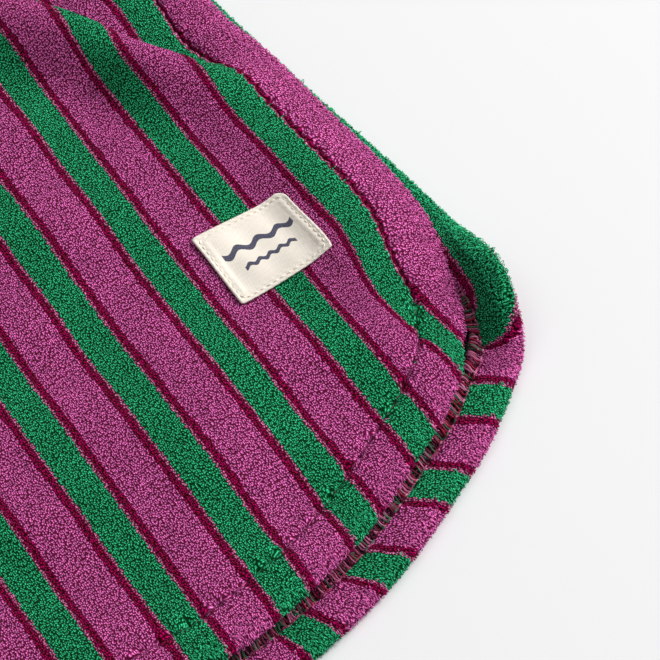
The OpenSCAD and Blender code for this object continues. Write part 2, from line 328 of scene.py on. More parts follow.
class Panel:
    """One hemmed panel: its flat layout and how it lies.

    turn is 1 where its hem turns upward and -1 where it turns downward."""

    STEP = 2.0             # between points along the hem
    SPACING = 4.0          # between points inside the hem

    def __init__(self, half_width, low_y, surface, turn, neck_scoop, stripe_shift):
        """surface lifts flat places into the panel's shape, and stripe_shift moves its stripes across."""
        self.surface = surface
        self.turn = turn
        self.path, self.normals, self.along = hem_path(half_width, low_y, self.STEP)
        self.neck_scoop = neck_scoop
        self.stripe_shift = np.array([stripe_shift, 0.0])

    def lay(self, flat, height):
        """Places of flat points, raised off the cloth's own surface by height."""
        eps = 0.5
        middle = self.surface(flat)
        dx = self.surface(flat + [eps, 0]) - self.surface(flat - [eps, 0])
        dy = self.surface(flat + [0, eps]) - self.surface(flat - [0, eps])
        normal = np.cross(dx, dy)
        normal /= np.linalg.norm(normal, axis=1, keepdims=True)
        return middle + normal * np.asarray(height)[:, None]

    def hem_height(self, along, distance):
        """Height of the cloth's middle off the panel, by its distance along the cloth from the edge."""
        off = turned_edge(distance)[1]
        relief = hem_relief(along, distance)
        if self.turn > 0:
            relief = np.where(distance < 0, np.minimum(relief, 0), relief)
        return self.turn * (off + np.where(distance < 0, -relief, relief))

    def edge_at(self, along):
        """Points of the folded edge at lengths along it, and their outward normals."""
        point = np.stack([np.interp(along, self.along, self.path[:, k]) for k in (0, 1)], axis=-1)
        normal = np.stack([np.interp(along, self.along, self.normals[:, k]) for k in (0, 1)], axis=-1)
        return point, normal

    def on_hem(self, along, distance, outward):
        """Places on the hem, from lengths along the edge and distances along the cloth from the fold.

        outward is how far they stand off the cloth's middle on its outer side."""
        along, distance, outward = np.broadcast_arrays(along, distance, outward)
        point, normal = self.edge_at(along)
        rolled = np.clip(distance / FOLD_RADIUS + 1, 0, math.pi)
        plan = turned_edge(distance)[0] + outward * np.sin(rolled)
        flat = (point + normal * plan[..., None]).reshape(-1, 2)
        height = self.hem_height(along, distance) - self.turn * outward * np.cos(rolled)
        return self.lay(flat, height.ravel()).reshape(*along.shape, 3)

    def build(self, name, material):
        """The whole panel as one closed sheet of cloth."""
        columns = len(self.path)
        along = np.tile(self.along, len(HEM_ROWS))
        distance = np.repeat(HEM_ROWS, columns)
        path = np.tile(self.path, (len(HEM_ROWS), 1))
        normals = np.tile(self.normals, (len(HEM_ROWS), 1))
        flat = path + normals * turned_edge(distance)[0][:, None]
        near_stitches = np.exp(-(((np.abs(distance) - STITCH_INSET) / 2.4) ** 2))
        jog = 1.8 * near_stitches * np.sin(along / 1.9 + 3 * np.sin(along / 23))
        tangents = np.column_stack([-normals[:, 1], normals[:, 0]])
        cloth = path + normals * distance[:, None] + tangents * jog[:, None]
        height = self.hem_height(along, distance) * smooth(distance, HEM_ROWS[0], HEM_ROWS[1])
        faces = grid_faces(len(HEM_ROWS), columns, flip=True)
        inside, inner_faces = self.fill(flat[:columns], len(flat))
        flat = np.concatenate([flat, inside])
        cloth = np.concatenate([cloth, inside]) - self.stripe_shift
        height = np.concatenate([height, np.zeros(len(inside))])
        points, shell, source = thicken(self.lay(flat, height), faces + inner_faces, TERRY)
        return new_object(name, points, shell, material, cloth[source])

    def fill(self, edge, first):
        """Points and triangles of the panel's middle, inside the hem's inner row."""
        top = [(HOOD_NECK_HALF, NECK_Y), (-HOOD_NECK_HALF, NECK_Y)]
        if self.neck_scoop:
            angles = np.linspace(0, math.pi, 90)
            scoop = [(NECK_RADIUS * math.cos(a), NECK_Y - NECK_RADIUS * math.sin(a)) for a in angles]
            top = [top[0], *scoop, top[1]]
        loop = [tuple(p) for p in edge] + top
        xs = np.arange(edge[0][0] + self.SPACING, edge[-1][0], self.SPACING)
        ys = np.arange(edge[:, 1].min() + self.SPACING, NECK_Y, self.SPACING)
        grid = np.stack(np.meshgrid(xs, ys), axis=-1).reshape(-1, 2)
        grid = grid[self.clear_of_border(grid, edge, 0.6 * self.SPACING)]
        borders = [(i, (i + 1) % len(loop)) for i in range(len(loop))]
        seeds = [tuple(map(float, p)) for p in [*loop, *grid]]
        places, _, triangles, origins, _, _ = geometry.delaunay_2d_cdt(seeds, borders, [], 1, 1e-6)
        numbers, inside = {}, []
        for i, origin in enumerate(origins):
            if origin and min(origin) < len(edge):
                numbers[i] = min(origin)
            else:
                numbers[i] = first + len(inside)
                inside.append(tuple(places[i]))
        return np.array(inside), [tuple(numbers[i] for i in triangle) for triangle in triangles]

    def clear_of_border(self, grid, edge, gap):
        """Which grid points lie inside the panel's middle and not too near its border."""
        low = np.interp(grid[:, 0], edge[:, 0], edge[:, 1])
        clear = grid[:, 1] > low + gap
        clear &= grid[:, 1] < shoulder_y(grid[:, 0]) - gap
        if self.neck_scoop:
            clear &= np.hypot(grid[:, 0], grid[:, 1] - NECK_Y) > NECK_RADIUS + gap
        return clear


# ---------------------------------------------------------------- how the panels lie
class Fold:
    """A soft fold across a panel that takes up cloth: it rises slowly, then drops behind its crest."""

    STEPS = 400            # points across the fold
    REACH = 60.0           # of the fold to either side of its crest
    FADE = 220.0           # past that reach, where the cloth behind still lies shifted
    LEVELS = 20            # strengths that are worked out between none and full

    def __init__(self, origin, direction, strength):
        self.origin = np.array(origin, float)
        self.direction = np.array(direction) / np.linalg.norm(direction)
        self.normal = np.array([self.direction[1], -self.direction[0]])
        self.strength = strength
        self.t = np.linspace(-self.REACH, self.REACH, self.STEPS)
        self.tables = [self.profile(level) for level in np.linspace(0, 1, self.LEVELS + 1)]

    def profile(self, level):
        """Travel and height along the cloth across the fold, at one strength."""
        t = self.t
        slope = math.radians(36) * bump(t, -48, -22, -12, -2)
        slope -= math.radians(84) * bump(t, -4, 6, 10, 19)
        slope += math.radians(22) * bump(t, 15, 24, 28, 48)
        slope = slope * level
        step = t[1] - t[0]
        travel = np.cumsum(np.cos(slope)) * step
        height = np.cumsum(np.sin(slope)) * step
        height -= height[-1] * smooth(t, -30, 50)
        centre = self.STEPS // 4
        return travel - travel[centre] + t[centre], height

    def __call__(self, flat):
        """Shift in x and y, and height, of flat points."""
        away = flat - self.origin
        across = away @ self.normal
        lengthwise = away @ self.direction
        level = np.clip(self.strength(lengthwise), 0, 1)
        inside = np.clip(across, -self.REACH, self.REACH)
        low = np.clip((level * self.LEVELS).astype(int), 0, self.LEVELS - 1)
        part = level * self.LEVELS - low
        travel = np.zeros(len(flat))
        height = np.zeros(len(flat))
        for k in range(self.LEVELS):
            here = low == k
            for column, out in ((0, travel), (1, height)):
                a = np.interp(inside[here], self.t, self.tables[k][column])
                b = np.interp(inside[here], self.t, self.tables[k + 1][column])
                out[here] = a + (b - a) * part[here]
        shift = travel - inside
        before = np.exp(-np.maximum(-across - self.REACH, 0) / 60)
        behind = 1 - smooth(across, self.REACH, self.REACH + self.FADE)
        shift = shift * before * behind
        return shift[:, None] * self.normal, height


# Each fold has a point of its crest line, the direction of that line, and its strength along it.
# This one crosses the front's right side, well above the patch label
MAIN_FOLD = Fold((247, -146), (-0.554, 0.833), lambda s: bump(s, -46, 26, 230, 330))

# A slack one from the left side towards the middle of the hem
SLACK_FOLD = Fold((-262, -130), (0.72, 0.69), lambda s: 0.6 * bump(s, -30, 50, 150, 260))


def near_shoulders(flat):
    """1 on the shoulder line and 0 well below it."""
    return 1 - smooth(shoulder_y(flat[:, 0]) - flat[:, 1], 2, 26)


def over_bands(x):
    """1 at the sides, where the turned hems lie between the layers, and 0 inside them."""
    return 1 - smooth(FRONT_HALF - np.abs(x), 20, 44)


def flank_shift(flat, half_width, low_y, pull_in):
    """Plan shift near a panel's lower corners: the corners are pulled in, and the flanks lie fuller."""
    past_corner = np.abs(flat[:, 0]) - half_width + CORNER_RADIUS
    above_corner = flat[:, 1] - low_y - HEM_DROP
    cos, sin = math.cos(FLANK_SLOPE), math.sin(FLANK_SLOPE)
    lengthwise = past_corner * cos + above_corner * sin
    depth = past_corner * sin - above_corner * cos
    bulge = 4.5 * bump(lengthwise, -140, -70, -35, 2) * smooth(depth, -40, 40)
    pull = pull_in * bump(lengthwise, -10, 14, 30, 62) * smooth(depth, -30, 20)
    outward = bulge * sin - 0.87 * pull
    return np.column_stack([np.sign(flat[:, 0]) * outward, 0.5 * pull - bulge * cos])


def front_surface(flat):
    """Middle of the front panel's cloth, from its flat place."""
    x, y = flat[:, 0], flat[:, 1]
    side = FRONT_HALF - np.abs(x)
    right = x > 0
    shift, lift = MAIN_FOLD(flat)
    slack_shift, slack_lift = SLACK_FOLD(flat)
    place = np.column_stack([x, y, np.zeros(len(x))])
    place[:, :2] += shift + slack_shift + flank_shift(flat, FRONT_HALF, FRONT_LOW[1], 6.5)
    # The right side is drawn in a little at its corner, and more beside the fold
    at_corner = 3.5 * bump(y, -330, -300, -290, -250)
    at_fold = 7.5 * bump(y, -250, -140, -130, -90) + 8 * bump(y, -125, -30, -20, 80)
    place[:, 0] -= (at_corner * smooth(side, 70, 0) + at_fold * smooth(side, 130, 0)) * right
    # A low ridge stands along that side and leans inward
    ridge = 8.0 * bump(side, 2, 22, 28, 60) * bump(y, -308, -262, -175, -120) * right
    place[:, 0] -= 0.37 * ridge
    # The cloth waves over the layer below, flatter near its edge, and never sinks under 10 mm
    broad = (2.6 - 0.8 * smooth(x, 0, 90)) * soft_noise(x, y, 130, 3)
    waves = broad + 1.5 * soft_noise(x, y, 62, 5)
    inside = smooth(side, 0, 60)
    height = 12.2 + 4.2 * inside + waves * (0.35 + 0.65 * inside) + lift + slack_lift + ridge
    height = np.where(height < 13, 10 + 3 * np.exp((height - 13) / 3), height)
    sewn = near_shoulders(flat)
    place[:, 2] = height * (1 - sewn) + (5.0 + 6.5 * over_bands(x)) * sewn
    return place


def back_surface(flat):
    """Middle of the back panel's cloth, from its flat place."""
    x, y = flat[:, 0], flat[:, 1]
    place = np.column_stack([x, y, np.full(len(x), TERRY / 2 + 0.1)])
    place[:, :2] += flank_shift(flat, BACK_HALF, BACK_LOW[1], 2.0)
    side = BACK_HALF - x
    # The right edge curls up at its corner, and higher up it is drawn in with the front
    curl = bump(y, -342, -312, -302, -258) * np.clip(1 - side / 27, 0, 1.1) ** 1.3
    place[:, 2] += 23 * curl
    drawn = 22.8 * bump(y, -310, -70, -20, 90) * smooth(side, 150, 0)
    place[:, 0] -= 4.5 * curl + drawn
    return place


# ---------------------------------------------------------------- materials
class Nodes:
    """Short way to write a material's nodes."""

    def __init__(self, name):
        self.material = bpy.data.materials.new(name)
        self.material.use_nodes = True
        self.tree = self.material.node_tree
        self.tree.nodes.clear()
        self.output = self.add("OutputMaterial")
        self.shader = self.add("BsdfPrincipled")
        self.link(self.shader.outputs[0], self.output.inputs["Surface"])

    def add(self, kind, **settings):
        """A new shader node of one kind."""
        node = self.tree.nodes.new("ShaderNode" + kind)
        for key, value in settings.items():
            setattr(node, key, value)
        return node

    def link(self, source, target):
        self.tree.links.new(source, target)

    def set(self, **values):
        """Sets the shader's sockets, named with _ for each space."""
        for key, value in values.items():
            self.shader.inputs[key.replace("_", " ")].default_value = value

    def math(self, operation, a, b=None):
        """One Math node on numbers or sockets."""
        node = self.add("Math", operation=operation)
        for socket, value in zip(node.inputs, (a, b)):
            if value is None:
                continue
            if isinstance(value, (int, float)):
                socket.default_value = value
            else:
                self.link(value, socket)
        return node.outputs[0]

    def linear(self, value, slope, offset):
        """slope times the value, plus the offset."""
        return self.math("ADD", self.math("MULTIPLY", value, slope), offset)

    def product(self, *values):
        """All the values multiplied."""
        result = values[0]
        for value in values[1:]:
            result = self.math("MULTIPLY", result, value)
        return result

    def scale(self, vector, factors):
        """The vector with each part times its own factor."""
        node = self.add("VectorMath", operation="MULTIPLY")
        self.link(vector, node.inputs[0])
        node.inputs[1].default_value = factors
        return node.outputs[0]

    def ramp(self, value, stops, interpolation="LINEAR"):
        """Colour by value, from stops of a position and a colour."""
        node = self.add("ValToRGB")
        node.color_ramp.interpolation = interpolation
        elements = node.color_ramp.elements
        while len(elements) < len(stops):
            elements.new(0.5)
        for element, (position, colour) in zip(elements, stops):
            element.position = position
            element.color = (*colour, 1)
        self.link(value, node.inputs[0])
        return node.outputs[0]

    def mix(self, factor, a, b, blend="MIX"):
        """Two colours mixed, from numbers, tuples or sockets."""
        node = self.add("Mix", data_type="RGBA", blend_type=blend)
        for socket, value in ((node.inputs[0], factor), (node.inputs[6], a), (node.inputs[7], b)):
            if isinstance(value, (int, float)):
                socket.default_value = value
            elif isinstance(value, tuple):
                socket.default_value = (*value, 1)
            else:
                self.link(value, socket)
        return node.outputs[2]

    def times(self, colour, gain):
        """The colour made brighter or darker by a gain."""
        node = self.add("VectorMath", operation="SCALE")
        if isinstance(colour, tuple):
            node.inputs[0].default_value = colour
        else:
            self.link(colour, node.inputs[0])
        self.link(gain, node.inputs["Scale"])
        return node.outputs[0]

    def attribute(self, name, output="Vector"):
        """A value that the mesh keeps at each point."""
        return self.add("Attribute", attribute_name=name).outputs[output]

    def split(self, vector):
        """The vector's three parts."""
        node = self.add("SeparateXYZ")
        self.link(vector, node.inputs[0])
        return node.outputs

    def paint(self, colour, **settings):
        """Gives the shader its colour and its other settings, and returns the material."""
        self.link(colour, self.shader.inputs["Base Color"])
        self.set(**settings)
        return self.material

    def painted_highlight_colour(self, colour):
        """The painted highlight colour, where light catches the yarn: brighter and less saturated."""
        node = self.add("Gamma")
        node.inputs["Gamma"].default_value = 0.52
        self.link(colour, node.inputs["Color"])
        return node.outputs[0]

    def noise(self, vector, scale, detail=2.0, roughness=0.5):
        """Noise from 0 to 1, scale times for each unit of the vector."""
        node = self.add("TexNoise")
        node.inputs["Scale"].default_value = scale
        node.inputs["Detail"].default_value = detail
        node.inputs["Roughness"].default_value = roughness
        self.link(vector, node.inputs["Vector"])
        return node.outputs["Fac"]

    def bump(self, height, strength, distance):
        """Roughens the shader's surface by a height from 0 to 1 over a distance."""
        node = self.add("Bump")
        node.inputs["Strength"].default_value = strength
        node.inputs["Distance"].default_value = distance * MM
        self.link(height, node.inputs["Height"])
        self.link(node.outputs[0], self.shader.inputs["Normal"])


def srgb(red, green, blue):
    """Linear colour from ordinary 0 to 255 values."""
    return tuple(
        v / 12.92 if v <= 0.04045 else ((v + 0.055) / 1.055) ** 2.4
        for v in (red / 255, green / 255, blue / 255)
    )


PINK = srgb(222, 76, 166)
GREEN = srgb(14, 160, 92)
MAROON = srgb(138, 0, 48)
PALE_PINK = srgb(196, 84, 138)
CREAM = srgb(224, 216, 204)
NAVY = srgb(38, 42, 74)

# Woven stripes over one repeat, from the middle of one green stripe to the next
GREEN_HALF, THIN, LINE = 6.8, 1.2, 2.8
STRIPES = [
    (0.0, GREEN),
    (GREEN_HALF, PALE_PINK),
    (GREEN_HALF + THIN, MAROON),
    (GREEN_HALF + THIN + LINE, PINK),
    (REPEAT - GREEN_HALF - THIN - LINE, MAROON),
    (REPEAT - GREEN_HALF - THIN, PALE_PINK),
    (REPEAT - GREEN_HALF, GREEN),
]
LOOP_ACROSS, LOOP_ALONG = 0.78, 1.05       # spacing of the pile's loops across and along the stripes


def stripe_colour(n, across):
    """Yarn colour at a place across the cloth, in millimetres."""
    repeats = n.math("ADD", n.math("DIVIDE", across, REPEAT), 100.5)
    stops = [(start / REPEAT, colour) for start, colour in STRIPES]
    return n.ramp(n.math("FRACT", repeats), stops, "CONSTANT")


def terry_material(name):
    """Striped terry. Each loop of its pile has a stripe's colour, with a painted highlight at its tip and
    painted shade in the gaps beside it.
    """
    n = Nodes(name)
    cloth = n.attribute("cloth")
    drift = n.add("TexNoise")
    drift.inputs["Scale"].default_value = 0.9
    drift.inputs["Detail"].default_value = 1.0
    n.link(cloth, drift.inputs["Vector"])
    wobble = n.add("VectorMath", operation="MULTIPLY_ADD")
    n.link(drift.outputs["Color"], wobble.inputs[0])
    wobble.inputs[1].default_value = (0.8, 0.8, 0)
    n.link(cloth, wobble.inputs[2])
    cells = n.add("TexVoronoi", voronoi_dimensions="2D")
    cells.inputs["Scale"].default_value = 1.0
    cells.inputs["Randomness"].default_value = 0.8
    n.link(n.scale(wobble.outputs[0], (1 / LOOP_ACROSS, 1 / LOOP_ALONG, 1)), cells.inputs["Vector"])
    loop_middle = n.split(cells.outputs["Position"])
    yarn = stripe_colour(n, n.math("MULTIPLY", loop_middle[0], LOOP_ACROSS))
    tip = n.ramp(
        cells.outputs["Distance"],
        [(0.0, (1, 1, 1)), (0.27, (0.8, 0.8, 0.8)), (0.47, (0.2, 0.2, 0.2)), (0.62, (0.0, 0.0, 0.0))],
    )
    chance = n.add("SeparateColor")
    n.link(cells.outputs["Color"], chance.inputs[0])
    each = n.linear(chance.outputs[0], 0.7, 0.65)
    fibre = n.noise(cloth, 2.4, 3.0, 0.6)
    broad = n.noise(cloth, 0.05)
    gain = n.product(n.linear(broad, 0.3, 0.85), each, n.linear(fibre, 0.9, 0.55))
    # Painted shade: the yarn's colour darkened in the gaps between the loops
    painted_gap_shade = n.mix(1.0, yarn, (0.13, 0.08, 0.07), "MULTIPLY")
    # Painted highlight: the loops' tips mixed towards the yarn's highlight colour
    glint = n.ramp(cells.outputs["Distance"], [(0.0, (1, 1, 1)), (0.36, (0, 0, 0))])
    lit = n.times(n.mix(glint, n.mix(tip, painted_gap_shade, yarn), n.painted_highlight_colour(yarn)), gain)
    n.bump(n.linear(tip, 0.8, n.math("MULTIPLY", fibre, 0.35)), 1.0, 1.2)
    return n.paint(lit, Roughness=1.0, Specular_IOR_Level=0.03, Sheen_Weight=0.02, Sheen_Roughness=0.5)


def pile_material(name):
    """Loose loops of the striped terry, each a little lighter or darker than the next, and all half mixed
    with a painted highlight colour.
    """
    n = Nodes(name)
    fibre = n.noise(n.add("TexCoord").outputs["Object"], 2500)
    gain = n.product(n.linear(n.attribute("tint", "Fac"), 0.6, 0.6), n.math("ADD", fibre, 0.5))
    yarn = stripe_colour(n, n.split(n.attribute("cloth"))[0])
    # Painted highlight: each loop's yarn colour half mixed with its highlight colour
    lit = n.times(n.mix(0.5, yarn, n.painted_highlight_colour(yarn)), gain)
    n.bump(fibre, 0.5, 0.15)
    return n.paint(lit, Roughness=1.0, Specular_IOR_Level=0.05, Sheen_Weight=0.03, Sheen_Roughness=0.5)


def thread_material(name, tones):
    """Twisted sewing thread. Each strand's tint picks one of the tones."""
    n = Nodes(name)
    stops = [(i / len(tones), tone) for i, tone in enumerate(tones)]
    colour = n.ramp(n.attribute("tint", "Fac"), stops, "CONSTANT")
    twist = n.noise(n.add("TexCoord").outputs["Object"], 1600)
    lit = n.times(colour, n.linear(twist, 0.9, 0.55))
    n.bump(twist, 0.6, 0.2)
    return n.paint(lit, Roughness=0.7, Specular_IOR_Level=0.2, Sheen_Weight=0.15, Sheen_Roughness=0.4)


def woven_colour(n, cloth, colour, pitch, contrast):
    """Plain weave over the cloth, in threads of one pitch. Returns its colour and its height."""
    crossing = n.split(n.scale(cloth, (math.pi / pitch, math.pi / pitch, 0)))
    warp = n.math("SINE", crossing[0])
    weft = n.math("SINE", crossing[1])
    weave = n.linear(n.product(warp, weft), 0.5, 0.5)
    slub = n.noise(n.scale(cloth, (0.3, 2.2, 1)), 1.1, 3.0)
    blotch = n.noise(cloth, 0.12, 3.0)
    threads = n.linear(weave, contrast, 1 - 0.6 * contrast)
    gain = n.product(threads, n.linear(slub, 0.14, 0.93), n.linear(blotch, 0.12, 0.94))
    return n.times(colour, gain), n.linear(slub, 0.6, weave)


def woven_material(name, colour, pitch, contrast, roughness, sheen):
    """Plain weave of one colour, such as cotton tape or satin."""
    n = Nodes(name)
    lit, height = woven_colour(n, n.attribute("cloth"), colour, pitch, contrast)
    n.bump(height, 0.5, 0.25)
    return n.paint(
        lit, Roughness=roughness, Specular_IOR_Level=0.25, Sheen_Weight=sheen, Sheen_Roughness=0.4
    )


def label_material(name):
    """Unbleached cotton with a printed motif of two waves, a thick one over a thin one."""
    n = Nodes(name)
    cloth = n.attribute("cloth")
    across, up, _ = n.split(cloth)
    ink = 0.0
    for middle, half_thick, half_long, length in ((4.2, 1.5, 17.5, 10.0), (-4.8, 1.0, 12.5, 5.0)):
        phase = n.math("MULTIPLY", across, 2 * math.pi / length)
        wave = n.math("MULTIPLY", n.math("COSINE", phase), 0.13 * length)
        off = n.math("ABSOLUTE", n.math("SUBTRACT", n.math("SUBTRACT", up, middle), wave))
        inside = n.math("LESS_THAN", n.math("ABSOLUTE", across), half_long)
        stroke = n.product(n.math("LESS_THAN", off, half_thick), inside)
        ink = n.math("MAXIMUM", ink, stroke)
    wear = n.noise(cloth, 2.5)
    colour = n.mix(n.product(ink, n.linear(wear, 0.5, 0.68)), CREAM, NAVY)
    lit, height = woven_colour(n, cloth, colour, 0.4, 0.05)
    n.bump(height, 0.5, 0.2)
    return n.paint(lit, Roughness=0.9, Specular_IOR_Level=0.2, Sheen_Weight=0.08, Sheen_Roughness=0.4)


TERRY_CLOTH = terry_material("striped_terry")
PILE = pile_material("striped_pile")
OVERLOCK_TONES = [
    MAROON,
    srgb(84, 12, 40),
    srgb(184, 108, 142),
    srgb(120, 26, 62),
    srgb(52, 92, 68),
    srgb(158, 76, 114),
]
OVERLOCK_THREAD = thread_material("overlock_thread", OVERLOCK_TONES)
STITCH_THREAD = thread_material("topstitch_thread", [srgb(120, 20, 72), srgb(104, 14, 60)])
CREAM_THREAD = thread_material("cream_thread", [srgb(236, 229, 214), srgb(226, 216, 198)])
LABEL_COTTON = label_material("label_cotton")
TAPE_COTTON = woven_material("tape_cotton", srgb(206, 120, 172), 0.9, 0.16, 0.9, 0.1)
SATIN = woven_material("care_satin", srgb(222, 221, 217), 0.3, 0.05, 0.45, 0.05)

# ---------------------------------------------------------------- camera and light
AZIMUTH = math.radians(-33.6)
ELEVATION = math.radians(56)
DISTANCE = 1250.0
VIEW_WIDTH = 264.0     # of what the picture shows at the camera's aim
AIM = np.array([FRONT_HALF - 66, FRONT_LOW[1] + 105, 12.0])       # inside the front's right corner


def make_camera():
    """Camera at the photograph's viewing angle."""
    level = math.cos(ELEVATION)
    back = np.array([math.sin(AZIMUTH) * level, -math.cos(AZIMUTH) * level, math.sin(ELEVATION)])
    data = bpy.data.cameras.new("camera")
    data.sensor_width = 36
    data.lens = data.sensor_width * DISTANCE / VIEW_WIDTH
    data.clip_start = 0.05
    data.clip_end = 50
    camera = bpy.data.objects.new("camera", data)
    camera.location = (AIM + back * DISTANCE) * MM
    camera.rotation_euler = (math.pi / 2 - ELEVATION, 0, AZIMUTH)
    bpy.context.scene.collection.objects.link(camera)
    bpy.context.scene.camera = camera


def area_light(name, place, aim, size, power):
    """Round soft light at a place, turned towards its aim."""
    data = bpy.data.lights.new(name, "AREA")
    data.shape = "DISK"
    data.size = size * MM
    data.energy = power
    light = bpy.data.objects.new(name, data)
    light.location = np.array(place) * MM
    away = light.location - Vector(np.array(aim) * MM)
    light.rotation_euler = away.to_track_quat("Z", "Y").to_euler()
    bpy.context.scene.collection.objects.link(light)


def make_light():
    """Soft studio light: a large window light from the right, a weaker one overhead and a pale sky."""
    world = bpy.data.worlds.new("studio")
    world.use_nodes = True
    background = world.node_tree.nodes["Background"]
    background.inputs[0].default_value = (1, 1, 1, 1)
    background.inputs[1].default_value = 0.28
    bpy.context.scene.world = world
    area_light("window", (4200, -300, 2950), (0, -100, 0), 2400, 352)
    area_light("overhead", (-900, 600, 4200), (0, 0, 0), 3600, 50)


def make_floor():
    """Plain pale floor, far wider than the towel."""
    mesh = bpy.data.meshes.new("floor")
    reach = 12000 * MM
    corners = [(-reach, -reach, 0), (reach, -reach, 0), (reach, reach, 0), (-reach, reach, 0)]
    mesh.from_pydata(corners, [], [(0, 1, 2, 3)])
    n = Nodes("floor")
    n.set(Base_Color=(0.69, 0.69, 0.695, 1), Roughness=0.9, Specular_IOR_Level=0.1)
    mesh.materials.append(n.material)
    floor = bpy.data.objects.new("floor", mesh)
    bpy.context.scene.collection.objects.link(floor)


def piece(name, shape, material, body, nodes, slot, cloth=None, tint=None):
    """A finished piece that rides on a body and stands for CAD nodes."""
    made = new_object(name, shape[0], shape[1], material, cloth, tint)
    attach(made, body)
    if nodes:
        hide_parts(*nodes)
    return made


def bend_at_shoulders(made):
    """Bakes the piece's transform into its mesh."""
    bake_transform(made)


def bend_at_neck(made):
    """Bakes the piece's transform into its mesh."""
    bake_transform(made)


# ---------------------------------------------------------------- sewing
def overlock(panel):
    """Overlocked raw edge of a hem: slanting stitches over the edge, and two rows of needle thread."""
    pitch = 1.7
    starts = np.arange(0, panel.along[-1], pitch)
    t = np.linspace(0, 1, 7)
    inner, outer = BAND_END - OVERLOCK_REACH, BAND_END + 0.5
    jitter = rng.normal(0, 0.4, (len(starts), 2, 1))
    sway = rng.normal(0, 0.55, (len(starts), 2, 1)) * np.sin(math.pi * t)
    go = starts[:, None] + pitch * 0.8 * t + jitter[:, 0] + sway[:, 0]
    back_way = starts[:, None] + pitch * (0.8 + 0.4 * t) + jitter[:, 1] + sway[:, 1]
    distance = inner + (outer - inner) * t
    rise = 1.0 + 1.0 * np.sin(math.pi * t) ** 0.5
    over = panel.on_hem(go, distance, TERRY / 2 + rise - 0.7)
    again = panel.on_hem(back_way, distance[::-1], TERRY / 2 + rise - 0.9)
    line, arch = stitch_row(starts, pitch, -0.05, 1.1, len(t))
    rows = [panel.on_hem(line, inner + inset, TERRY / 2 + 0.35 + 0.3 * arch) for inset in (0.4, 2.6)]
    return tinted(np.concatenate([over, again, *rows]), 0.46, 4)


def edge_pile(panel, name, distances):
    """Rows of pile loops that stand out round a folded edge, each loop in its own stripe's colour.

    distances gives the rows, along the cloth from the fold."""
    pitch = 1.1
    starts = np.arange(0.5, panel.along[-1] - 0.5, pitch)
    along = np.tile(starts, len(distances)) + rng.normal(0, 0.35, len(starts) * len(distances))
    distance = np.repeat(distances, len(starts)) + rng.normal(0, 0.35, len(along))
    count = len(along)
    t = np.linspace(0, 1, 6)
    heading = rng.uniform(0, math.pi, count)[:, None]
    half_wide = rng.uniform(0.25, 0.5, count)[:, None]
    tall = rng.uniform(0.45, 1.15, count)[:, None]
    tall[rng.random(count) < 0.004] *= 2.0
    lean = rng.normal(0, 0.5, (2, count, 1))
    arch = np.sin(math.pi * t)
    swing = np.cos(math.pi * t)
    path = panel.on_hem(
        along[:, None] + half_wide * swing * np.cos(heading) + lean[0] * arch,
        distance[:, None] + half_wide * swing * np.sin(heading) + lean[1] * arch,
        TERRY / 2 - 0.25 + tall * arch,
    )
    path[..., 2] = np.maximum(path[..., 2], 0.3)
    points, faces, loop = strands(path, 0.17, 3)
    edge, normal = panel.edge_at(along)
    cloth = edge + normal * distance[:, None] - panel.stripe_shift
    return new_object(name, points, faces, PILE, cloth[loop], rng.random(count)[loop])


def topstitch(panel, distance):
    """Row of stitches sunk in the pile along a hem, at a distance along the cloth from its fold."""
    line, arch = stitch_row(np.arange(2, panel.along[-1] - 2, STITCH_PITCH))
    return tinted(panel.on_hem(line, distance, TERRY / 2 - 0.9 + 0.75 * arch), 0.4)


make_camera()
make_light()
make_floor()

front = Panel(FRONT_HALF - PILE_REACH, FRONT_LOW[1] + PILE_REACH, front_surface, -1, True, 0.0)
back = Panel(BACK_HALF - PILE_REACH, BACK_LOW[1] + PILE_REACH, back_surface, 1, False, 3.4)

front_cloth = front.build("front_cloth", TERRY_CLOTH)
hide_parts("front_panel", "front_hem_band", "front_yoke", "yoke_side_bands")
bend_at_shoulders(front_cloth)

back_cloth = back.build("back_cloth", TERRY_CLOTH)
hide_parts("back_panel", "back_hem_band")
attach(back_cloth, "towel")

back_pile = edge_pile(back, "back_edge_pile", np.linspace(0.4, 5.9, 6))
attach(back_pile, "towel")
front_pile = edge_pile(front, "front_edge_pile", np.linspace(-5.2, 0.8, 6))
bend_at_shoulders(front_pile)

shape, tint = overlock(back)
piece(
    "back_overlock", shape, OVERLOCK_THREAD, "towel", ["back_overlock_edge"], "overlock_thread", tint=tint
)
shape, tint = topstitch(back, STITCH_INSET - 3.0 + (math.pi - 2) * FOLD_RADIUS)
piece("back_stitches", shape, STITCH_THREAD, "towel", ["back_hem_stitching"], "topstitch_thread", tint=tint)

shape, tint = overlock(front)
front_overlock = new_object("front_overlock", *shape, OVERLOCK_THREAD, tint=tint)
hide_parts("front_overlock_edge", "yoke_overlock_edges")
shape, tint = topstitch(front, -STITCH_INSET)
front_stitches = new_object("front_stitches", *shape, STITCH_THREAD, tint=tint)
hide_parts("front_hem_stitching", "yoke_side_stitching")
for made, slot_name in ((front_overlock, "overlock_thread"), (front_stitches, "topstitch_thread")):
    bend_at_shoulders(made)

# ---------------------------------------------------------------- patch label
LABEL_LOW, LABEL_HIGH = cad("patch_label")
LABEL_MIDDLE = (LABEL_LOW[:2] + LABEL_HIGH[:2]) / 2
LABEL_HALF = (LABEL_HIGH[:2] - LABEL_LOW[:2]) / 2
LABEL_THICK = 0.7
LABEL_LIFT = TERRY / 2 + 0.75      # of its middle over the middle of the front's cloth
LABEL_STITCH_INSET = 1.9


